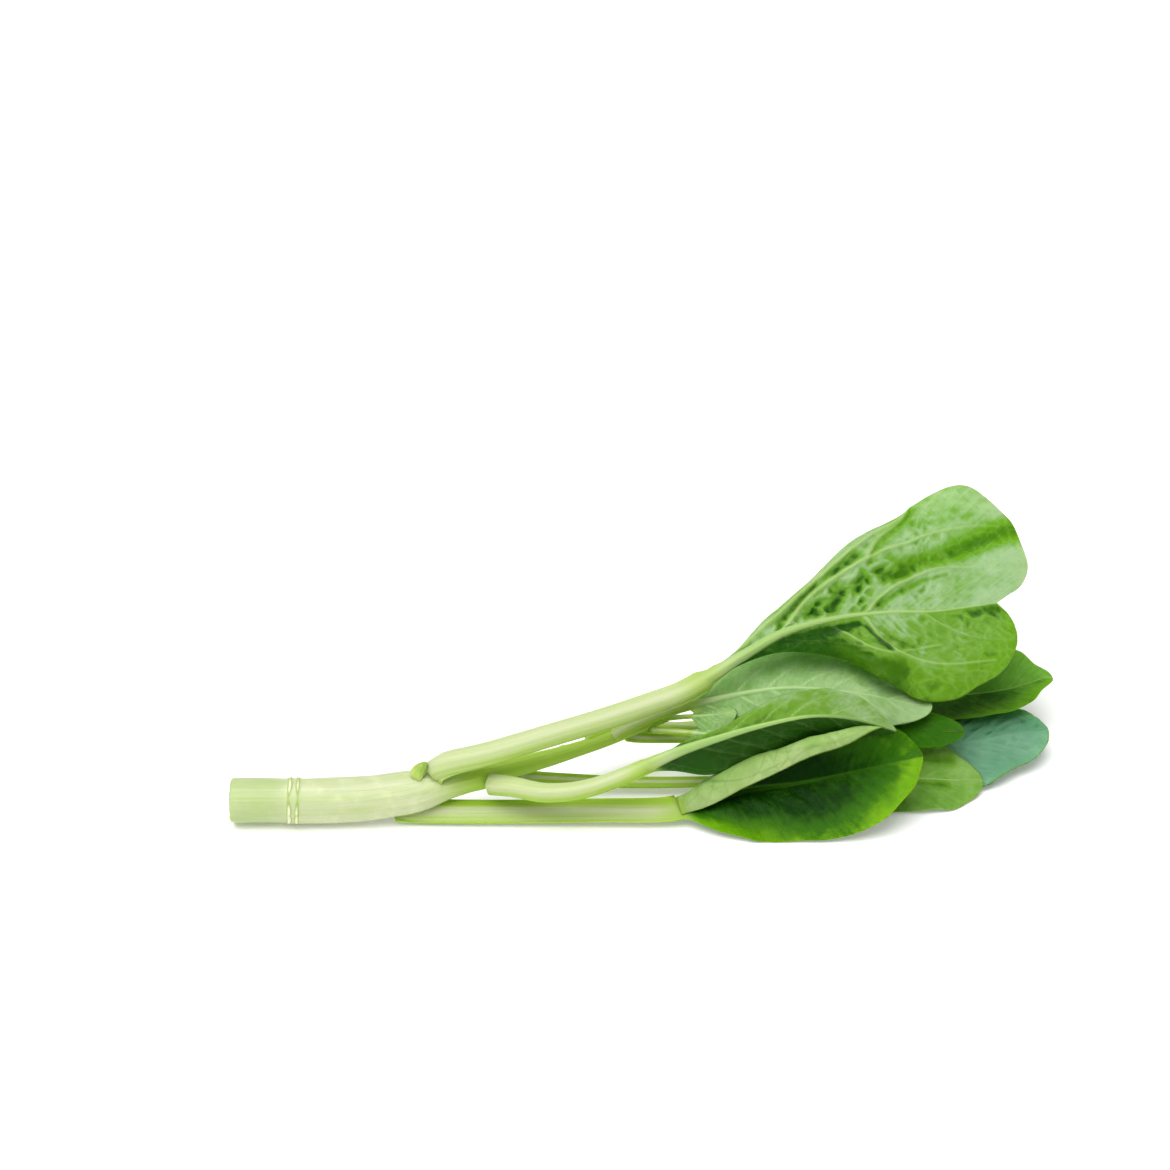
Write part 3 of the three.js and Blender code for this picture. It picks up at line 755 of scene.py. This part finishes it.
def half_blade(leaf, route, tables, side_number):
    """Upper and lower points and the looks of one half of a leaf, as arrays of rows by columns."""
    half, table = (leaf.left, leaf.right)[side_number], tables.halves[side_number]
    sign = (-1, 1)[side_number]
    start, rib, inside = tables.start[:, None], tables.rib[:, None], tables.inside[:, None]
    length, angle = table.length[:, None], table.angle[:, None]
    outer_columns = round(table.length.max() / STEP)
    span = length * np.sin(angle)
    most = 0.8 - 0.6 * ease((tables.share[:, None] - 0.6) / 0.3)
    rib_share = np.minimum(most, rib / np.maximum(span, 1e-6))
    inner = np.arange(RIB_STEPS + 1) / RIB_STEPS
    outer = np.arange(1, outer_columns + 1) / outer_columns
    out_share = np.hstack([rib_share * inner, rib_share + (1 - rib_share) * outer])
    width = span * out_share
    along = start + length * out_share * np.cos(angle)
    out, lift, bend = bent(table, out_share, width)
    over_rib = np.minimum(1, width / rib)
    bulge = (1 - over_rib**2) ** 0.62

    # side veins, puckers, furrows and waves, all worked out in the flat blade
    in_blade = slice(tables.blade_from, None)
    outline = Outline(tables.start[in_blade], table.length[in_blade], table.angle[in_blade])
    seed = leaf.seed * 10 + side_number
    stretches = veins_of(leaf, half, outline, tables.blade_length, seed)
    raised, gap = near_veins(along, width, stretches, VEIN_WINDOW)
    on_blade = inside * ease((width / rib - 0.8) / 0.5)
    raised *= on_blade
    net_along = along * math.cos(NET_TURN) + width * math.sin(NET_TURN)
    net_across = width * math.cos(NET_TURN) - along * math.sin(NET_TURN)
    wobble = waves(along, width, 5, seed + 1) * 0.25
    net, own = cells(net_along / leaf.cell[0] + wobble, net_across / leaf.cell[1] - wobble, seed)
    puff = ease(net / 0.9) * ease(gap / 2) * (0.35 + 0.65 * own)
    patch = 0.5 + 0.5 * ease(0.6 + 0.7 * waves(along, width, 8, seed + 3))
    quilt = table.quilt[:, None] * (1 - half.quilt_fade * ease(out_share * 1.1))
    quilt = quilt * patch * on_blade * ease(width / 3)
    pleat = leaf.pleat * ease(gap / 9) * ease(width / 7)
    edge = out_share**3
    ruffle = waves(along, width * 0.6, 11, leaf.seed) * edge * leaf.ruffle * 1.6
    broad = waves(along, width, 26, leaf.seed + 2) * ease(width / 20) * leaf.broad
    trough, shade, glow = furrows_of(leaf, half, along, width)
    trough *= ease(width / 1.5) * (1 - ease((out_share - 0.7) / 0.3))
    height = quilt * puff + (pleat + ruffle + broad) * inside + 0.8 * trough - GROOVE * raised
    # from the midrib out to the margin: own colour with painted shade and sheen, less the furrows' painted
    # shade
    tone, rim_tone_and_painted_light = table.tone[:, None], table.rim_tone_and_painted_light[:, None]
    tone = tone + (rim_tone_and_painted_light - tone) * ease((out_share - half.rim_from) / (1 - half.rim_from))

    thin = BLADE / 2 * (1 - 0.45 * edge * inside)
    fibres = 0.025 * np.cos(np.arcsin(over_rib) * 13 + leaf.seed) * rib**0.7
    upper = np.sqrt(thin**2 + ((tables.above[:, None] + fibres * 0.6) * bulge) ** 2)
    lower = np.sqrt(thin**2 + ((tables.below[:, None] + fibres) * bulge) ** 2) + raised * RISE

    point, face, side = route.frames(along)
    lean = bend * over_rib
    across = np.cos(lean)[..., None] * face - np.sin(lean)[..., None] * sign * side
    middle = point + side * (sign * out)[..., None] + face * lift[..., None]
    level = np.zeros(width.shape)
    flat = np.stack([along, sign * width, level], -1)
    tall = np.array([0, 0, 1.0])
    looks = {
        "blade": inside + level,
        "rib": 1 - ease((width / rib - 0.55) / 0.6),
        "vein": np.clip(raised / (0.8 * leaf.vein_radius), 0, 1),
        "edge": edge,
        "tone": tone - shade,
        "fresh": leaf.stalk_green[side_number] * ease(out_share * 1.3),
        "vivid": table.vivid[:, None] * ease(out_share * 1.4 - 0.4) + glow,
        "puff": puff,
        "quilt": quilt,
        "share": tables.share[:, None] + level,
        "fan": np.stack([start + level, 0.07 * sign * width, level], -1),
    }
    return [
        (
            middle + across * (height + rise)[..., None],
            {**looks, "flat": flat + tall * rise[..., None], "under": level + under},
        )
        for rise, under in ((upper, 0.0), (-lower, 1.0))
    ]


def leaf_piece(leaf):
    """The whole leaf as one closed shell."""
    route = Route(leaf.route)
    tables = row_tables(leaf, route)
    left, right = (half_blade(leaf, route, tables, i) for i in (0, 1))

    # a ring runs over the upper face from the left margin to the right one and back along the lower face
    def ring_of(read):
        upper = [read(left[0])[:, ::-1], read(right[0])[:, 1:]]
        lower = [read(right[1])[:, -2:0:-1], read(left[1])[:, :-1]]
        return np.concatenate([*upper, *lower], 1)

    places = ring_of(lambda face: face[0])
    looks = {key: ring_of(lambda face, key=key: face[1][key]) for key in left[0][1]}
    right_margin = left[0][0].shape[1] + right[0][0].shape[1] - 2
    places[0] = places[0].mean(0)
    places[-1] = places[-1, [0, right_margin]].mean(0)
    return shell(leaf.name, places, looks)


STEM_RING, STEM_STEP = 96, 0.6  # points in a ring of the stem, and the step between rings
FACE_ROWS = 10  # rings in the cut face
SCAR_AT, SCAR_GAP, SCAR_WIDTH = 20.8, 3.0, 0.65  # the torn ring, between its two lips, and of a lip


def stem_piece():
    """The stem: a cut face, a side that swells where leaves leave it, and a thin growing tip."""
    end = STEM_PROFILE[-1, 0]
    rows = [np.zeros(FACE_ROWS), np.arange(0, end, STEM_STEP), [end, end + STEM_STEP]]
    distance = np.concatenate(rows)
    radius = np.interp(distance, *STEM_PROFILE.T)
    soft = np.convolve(np.pad(radius, 4, "edge"), np.ones(9) / 9, "valid")
    radius = np.where(distance > 3, soft, radius)
    radius[:FACE_ROWS] = radius[FACE_ROWS] * np.linspace(0, 0.97, FACE_ROWS)
    radius[-1] = 0
    cut = np.where(np.arange(len(distance)) < FACE_ROWS, 1.0, 0.0)[:, None]
    distance, around = np.meshgrid(distance, np.arange(STEM_RING) / STEM_RING * 2 * math.pi, indexing="ij")
    rough = waves(distance, around * 8, 14, 41)
    ridges = np.cos(around * 11 + 0.4 * rough) * 0.09 + np.cos(around * 23) * 0.04
    torn = waves(around * 8, 0 * around, 3.5, 44)
    scar_at = SCAR_AT + 0.7 * np.sin(around + 0.6) + 0.3 * torn
    lips = ((1, scar_at), (0.8, scar_at + SCAR_GAP - 0.4 * torn))
    scar = sum(high * np.exp(-(((distance - at) / SCAR_WIDTH) ** 2)) for high, at in lips)
    scar = scar * (0.5 + 0.3 * torn)
    bump = (1 - cut) * ((ridges + 0.18 * rough) * np.minimum(1, radius / 6)[:, None] + scar)
    bump[-1] = 0
    out = radius[:, None] + bump
    x, y = out * np.cos(around), out * np.sin(around)
    point, face, aside = Route(STEM_ROUTE).frames(distance + cut * 0.25 * waves(x, y, 3, 43))
    places = point + aside * x[..., None] + face * y[..., None]
    places[0], places[-1] = places[0].mean(0), places[-1].mean(0)
    looks = {
        "flat": np.stack([distance, x, y], -1),
        "cut": cut + 0 * x,
        "scar": np.clip(scar * 1.6, 0, 1),
        "outward": out / STEM_RADIUS,
        "share": distance / end,
    }
    return shell("stem", places, looks)


def bud_piece():
    """The small bud: an egg wrapped in overlapping scales."""
    ring, rows = 48, 40
    down = np.arange(rows + 1)[:, None] / rows * math.pi
    around = np.arange(ring)[None, :] / ring * 2 * math.pi
    height = np.cos(down) + 0 * around
    scales = 0.16 * np.sin(around * 3 + height * 3.2) * np.sin(down)
    radius = np.sin(down) * (BUD_WIDTH / 2) * (1 - 0.35 * height) * (1 + scales * 0.8)
    x, y = radius * np.cos(around), radius * np.sin(around)
    z = height * BUD_LENGTH / 2
    lean = math.radians(BUD_LEAN)
    ahead, up = x * math.cos(lean) + z * math.sin(lean), z * math.cos(lean) - x * math.sin(lean)
    looks = {"flat": np.stack([z, x, y], -1), "share": (height + 1) / 2}
    return shell("bud", np.stack([ahead, y, up], -1) + BUD_AT, looks)


# ---- finishes ----
class Value:
    """A shader socket in an expression: each operator adds its Math node."""

    def __init__(self, finish, socket):
        self.finish, self.socket = finish, socket

    def __add__(self, other):
        return self.finish.maths("ADD", self, other)

    def __sub__(self, other):
        return self.finish.maths("SUBTRACT", self, other)

    def __rsub__(self, other):
        return self.finish.maths("SUBTRACT", other, self)

    def __mul__(self, other):
        return self.finish.maths("MULTIPLY", self, other)

    __radd__ = __add__
    __rmul__ = __mul__

    def between(self, low, high):
        """0 at low, 1 at high and smooth between."""
        inputs = {"Value": self, "From Min": low, "From Max": high}
        return self.finish.node("ShaderNodeMapRange", {"interpolation_type": "SMOOTHSTEP"}, inputs)


class Finish:
    """The nodes of one material."""

    def __init__(self, name):
        self.material = bpy.data.materials.new(name)
        self.material.use_nodes = True
        self.tree = self.material.node_tree
        self.tree.nodes.clear()

    def node(self, kind, settings=None, inputs=None, output=0):
        """Adds a node, sets its settings first and then its sockets, and returns one of its outputs."""
        made = self.tree.nodes.new(kind)
        for key, value in (settings or {}).items():
            setattr(made, key, value)
        for key, value in (inputs or {}).items():
            socket = made.inputs[key]
            if isinstance(value, Value):
                self.tree.links.new(value.socket, socket)
            else:
                socket.default_value = value
        return Value(self, made.outputs[output]) if made.outputs else None

    def maths(self, operation, a, b):
        return self.node("ShaderNodeMath", {"operation": operation}, {0: a, 1: b})

    def attribute(self, name, output="Fac"):
        return self.node("ShaderNodeAttribute", {"attribute_name": name}, output=output)

    def mix(self, factor, a, b):
        """A colour between a and b."""
        a, b = (colour if isinstance(colour, Value) else (*colour, 1) for colour in (a, b))
        return self.node("ShaderNodeMix", {"data_type": "RGBA"}, {0: factor, 6: a, 7: b}, output=2)

    def stretched(self, vector, x, y, z):
        """A vector with its parts scaled."""
        return self.node("ShaderNodeVectorMath", {"operation": "MULTIPLY"}, {0: vector, 1: (x, y, z)})

    def noise(self, vector, scale=1, detail=3, rough=0.55, output=0):
        sizes = {"Vector": vector, "Scale": scale, "Detail": detail, "Roughness": rough}
        return self.node("ShaderNodeTexNoise", None, sizes, output=output)

    def net(self, vector, scale):
        """Distance from the borders of a net of cells."""
        settings = {"feature": "DISTANCE_TO_EDGE"}
        return self.node("ShaderNodeTexVoronoi", settings, {"Vector": vector, "Scale": scale})

    def bump(self, height, distance):
        return self.node("ShaderNodeBump", None, {"Height": height, "Distance": distance})

    def surface(self, **inputs):
        """Ends the material with a Principled shader."""
        names = {key.replace("_", " "): value for key, value in inputs.items()}
        shader = self.node("ShaderNodeBsdfPrincipled", None, names)
        self.node("ShaderNodeOutputMaterial", None, {"Surface": shader})
        return self.material


STALK, STALK_DEEP, VIVID = (0.6, 0.64, 0.42), (0.36, 0.53, 0.07), (0.13, 0.29, 0.003)
PITH, PITH_LINE, BUNDLES = (0.74, 0.78, 0.52), (0.7, 0.74, 0.46), (0.55, 0.66, 0.3)
CUT_RIM, DRIED = (0.4, 0.52, 0.15), (0.46, 0.4, 0.16)
SCAR, SCAR_FLANK = (0.78, 0.8, 0.56), (0.28, 0.44, 0.05)
GROWING_TIP_GREEN_AND_SHADE, CUT_END_GREEN_AND_SHADOW = (0.36, 0.56, 0.03), (0.34, 0.5, 0.14)
BUD_FOOT, BUD_TIP, BUD_FIBRE = (0.46, 0.58, 0.14), (0.24, 0.4, 0.03), (0.62, 0.72, 0.32)
TISSUE_IOR = 1.4


def leaf_finish(name, upper, lower, vein, rough, gloss_level=0.25, rib_fade=0.2):
    """A leaf: pale fibrous petiole and midrib, green blade with a fine net of veins on both faces.

    upper, lower: the colours of each face where it is deep, plain and pale; the deep ones are partly
    painted shade and the pale ones partly painted sheen
    rib_fade: the share of the blade over which the midrib goes from the petiole's colours to the vein's
    """
    finish = Finish(name)
    mix, noise, attribute = finish.mix, finish.noise, finish.attribute
    flat = attribute("flat", "Vector")
    blade, rib, side_vein, under = map(attribute, ("blade", "rib", "vein", "under"))
    puff, quilt, share, edge = map(attribute, ("puff", "quilt", "share", "edge"))

    drift = noise(flat, 0.06)
    blotch = noise(flat, 0.28, 4)
    warp = noise(flat, 0.5, 2, output="Color")
    bent_flat = finish.node(
        "ShaderNodeVectorMath",
        {"operation": "MULTIPLY_ADD"},
        {0: warp, 1: (1.2, 1.2, 0), 2: finish.stretched(flat, 0.8, 1, 0)},
    )
    coarse_line = 1 - finish.net(bent_flat, 0.22).between(0, 0.15)
    fine_line = 1 - finish.net(bent_flat, 0.9).between(0, 0.25)
    fibre = noise(finish.stretched(flat, 0.02, 1.4, 1.4))
    streak = noise(finish.stretched(flat, 0.008, 0.5, 0.5))
    ray = noise(attribute("fan", "Vector"), 0.55, 4, 0.6)

    # the blade: deep to pale by tone, with painted shade in the dips between puckers and paler lines over
    # it
    painted_pocket_shade = quilt * (under * puff + (1 - under) * (0.6 - 0.6 * puff))
    tone = attribute("tone") + (drift - 0.5) * 1.4 + (blotch - 0.5) * 0.8 - painted_pocket_shade * 0.8 + (ray - 0.5) * 0.7
    depth = (0 - tone).between(0, 1)
    # the deep colours stand partly for painted shade and the pale ones partly for painted sheen
    deep, plain, pale = (mix(under, *pair) for pair in zip(upper, lower))
    green = mix(depth, plain, deep)
    green = mix(tone.between(0, 1), green, pale)
    vivid = mix(depth * 0.6, VIVID, deep)
    green = mix(attribute("vivid").between(0, 1) * 0.85, green, vivid)
    lines = coarse_line * drift.between(0.3, 0.6) * 0.6 + fine_line * 0.14
    green = mix(lines * (0.06 + 0.22 * under) * (1 - 0.7 * depth), green, vein)
    green = mix(side_vein * (0.22 + 0.5 * under) * (1 - 0.85 * depth), green, vein)

    # the petiole and the midrib: pale fibres, greener at the flanks, partly as painted shade, and where the
    # blade begins
    flank = fibre.between(0.35, 0.7) * 0.2 + streak.between(0.4, 0.7) * 0.25 + edge * 0.6
    flank = flank + attribute("fresh") * (1 - blade)
    stalk = mix(flank, STALK, STALK_DEEP)
    collar = share.between(-0.12, 0) * (1 - share.between(0.02, 0.12)) * 0.6
    stalk = mix(collar, stalk, STALK_DEEP)
    rib_colour = mix(share.between(-0.03, rib_fade), stalk, vein)
    on_stalk = 1 - blade * (1 - rib * (1 - 0.5 * share.between(0.6, 0.9)))

    height = (lines * (under * 0.8 - 0.4) + ray * 1.2) * (1 - on_stalk) + fibre * 0.5 * on_stalk
    return finish.surface(
        Base_Color=mix(on_stalk, green, rib_colour),
        Roughness=rough + 0.14 * (blotch - 0.5) - 0.08 * (1 - blade),
        Normal=finish.bump(height, 0.00035),
        IOR=TISSUE_IOR,
        Specular_IOR_Level=gloss_level,
        Subsurface_Weight=0.4,
        Subsurface_Radius=(0.6, 1.0, 0.15),
        Subsurface_Scale=0.0022,
    )


def stem_finish():
    """The stem: pale rind with long fibres, a torn ring, and a paler cut face with its ring of bundles."""
    finish = Finish("stem_rind")
    mix, noise, attribute = finish.mix, finish.noise, finish.attribute
    flat = attribute("flat", "Vector")
    cut, scar, outward, share = map(attribute, ("cut", "scar", "outward", "share"))
    fibre = noise(finish.stretched(flat, 0.03, 1.1, 1.1), detail=4)
    streak = noise(finish.stretched(flat, 0.01, 0.35, 0.35))
    blotch = noise(flat, 0.16, 4)
    fibrous = fibre.between(0.35, 0.7) * 0.2 + streak.between(0.4, 0.7) * 0.25
    rind = mix(fibrous, STALK, STALK_DEEP)
    rind = mix(blotch.between(0.45, 0.75) * 0.4, rind, PITH)
    rind = mix(scar.between(0.5, 0.9), rind, SCAR)
    rind = mix(scar.between(0.1, 0.4) * (1 - scar.between(0.4, 0.7)) * 0.7, rind, SCAR_FLANK)
    # greener towards the growing tip: partly its own green, partly painted shade under the feet of the
    # leaves
    rind = mix(share.between(0.42, 0.56) * 0.85, rind, GROWING_TIP_GREEN_AND_SHADE)
    # greener towards the cut: partly the first internode's own green, partly painted shadow across the end
    # of the stem
    rind = mix((1 - share.between(0.08, 0.14)) * 0.4, rind, CUT_END_GREEN_AND_SHADOW)
    grain = finish.net(flat, 1.3)
    face = mix(grain.between(0, 0.25), PITH_LINE, PITH)
    bundle = outward.between(0.62, 0.72) * (1 - outward.between(0.8, 0.9))
    face = mix(bundle * 0.7, face, BUNDLES)
    face = mix(outward.between(0.86, 0.95) * 0.8, face, CUT_RIM)
    face = mix(blotch.between(0.5, 0.75) * 0.6, face, DRIED)
    height = fibre * (1 - cut) + grain.between(0, 0.3) * cut * 0.8
    return finish.surface(
        Base_Color=mix(cut, rind, face),
        Roughness=0.36 + 0.2 * cut + 0.1 * blotch,
        Normal=finish.bump(height, 0.0003),
        IOR=TISSUE_IOR,
        Subsurface_Weight=0.5,
        Subsurface_Radius=(0.8, 1.0, 0.35),
        Subsurface_Scale=0.003,
    )


def bud_finish():
    """The bud: yellow-green, paler at its foot."""
    finish = Finish("bud_scales")
    flat = finish.attribute("flat", "Vector")
    fibre = finish.noise(finish.stretched(flat, 0.1, 1.2, 1.2))
    colour = finish.mix(finish.attribute("share").between(0.2, 1), BUD_FOOT, BUD_TIP)
    return finish.surface(
        Base_Color=finish.mix(fibre.between(0.4, 0.7) * 0.4, colour, BUD_FIBRE),
        Roughness=0.42,
        Normal=finish.bump(fibre, 0.0003),
        Subsurface_Weight=0.4,
        Subsurface_Radius=(0.6, 1.0, 0.25),
        Subsurface_Scale=0.002,
    )


# ---- the stalk ----
LEAF_FINISHES = {
    "bright": leaf_finish(
        "bright_leaf",
        upper=((0.03, 0.11, 0.004), (0.13, 0.28, 0.03), (0.26, 0.42, 0.12)),
        lower=((0.018, 0.08, 0.002), (0.15, 0.3, 0.03), (0.34, 0.46, 0.28)),
        vein=(0.37, 0.53, 0.19), rough=0.46,
    ),
    "deep": leaf_finish(
        "deep_leaf_and_painted_shade",
        # the dark upper-face colours are partly the leaf's own deep green and partly painted shade for the
        # inside of a cupped leaf
        upper=((0.006, 0.04, 0.001), (0.04, 0.14, 0.005), (0.21, 0.4, 0.015)),
        lower=((0.1, 0.24, 0.03), (0.3, 0.46, 0.14), (0.42, 0.56, 0.24)),
        vein=(0.045, 0.145, 0.008), rough=0.4, gloss_level=0.1, rib_fade=0.14,
    ),
    "blue": leaf_finish(
        "blue_green_leaf",
        upper=((0.02, 0.09, 0.02), (0.07, 0.22, 0.06), (0.12, 0.32, 0.12)),
        lower=((0.03, 0.12, 0.05), (0.13, 0.28, 0.18), (0.21, 0.36, 0.26)),
        vein=(0.15, 0.32, 0.21), rough=0.6,
    ),
    "pale": leaf_finish(
        "pale_leaf",
        upper=((0.04, 0.14, 0.02), (0.12, 0.3, 0.05), (0.24, 0.42, 0.12)),
        lower=((0.06, 0.18, 0.01), (0.22, 0.38, 0.12), (0.36, 0.5, 0.26)),
        vein=(0.44, 0.6, 0.28), rough=0.5,
    ),
}


def finish_piece(piece, material, node):
    """Gives a piece its material, hangs it under the root body and hides the CAD node that it replaces."""
    piece.data.materials.append(material)
    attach(piece, "root")
    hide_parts(node)


for leaf in LEAVES:
    finish_piece(leaf_piece(leaf), LEAF_FINISHES[leaf.finish], leaf.node)
finish_piece(stem_piece(), stem_finish(), "main_stem")
finish_piece(bud_piece(), bud_finish(), "axillary_bud")


# ---- floor, light and camera ----
FLOOR_HALF = 6  # metres
SKY_STRENGTH, KEY_STRENGTH, KEY_SPREAD = 0.38, 2.4, math.radians(55)
KEY_DIRECTION = Vector((0.22, 0.3, -1))
CAMERA_AT = Vector((-0.02407, -0.87247, 0.57725))
CAMERA_TARGET = Vector((-0.02407, -0.00644, 0.07725))
CAMERA_LENS = 85.47

floor_shape = bmesh.new()
bmesh.ops.create_grid(floor_shape, x_segments=1, y_segments=1, size=FLOOR_HALF)
floor_mesh = bpy.data.meshes.new("floor")
floor_shape.to_mesh(floor_mesh)
floor_shape.free()
floor_mesh.materials.append(
    Finish("pale_floor").surface(
        Base_Color=(0.9, 0.9, 0.9, 1),
        Roughness=0.9,
        Emission_Color=(1, 1, 1, 1),
        Emission_Strength=0.15,
    )
)
placed("floor", floor_mesh)

world = bpy.data.worlds.new("studio")
world.use_nodes = True
sky = world.node_tree.nodes["Background"]
sky.inputs["Color"].default_value = (1, 1, 1, 1)
sky.inputs["Strength"].default_value = SKY_STRENGTH
bpy.context.scene.world = world

key_light = bpy.data.lights.new("key", "SUN")
key_light.energy = KEY_STRENGTH
key_light.angle = KEY_SPREAD
placed("key", key_light).rotation_euler = KEY_DIRECTION.to_track_quat("-Z", "Y").to_euler()

camera_data = bpy.data.cameras.new("camera")
camera_data.lens = CAMERA_LENS
camera_data.clip_end = 20
camera = placed("camera", camera_data)
camera.location = CAMERA_AT
camera.rotation_euler = (CAMERA_TARGET - CAMERA_AT).to_track_quat("-Z", "Y").to_euler()
bpy.context.scene.camera = camera
view = bpy.context.scene.view_settings
view.view_transform = "Standard"
view.look = "Medium High Contrast"
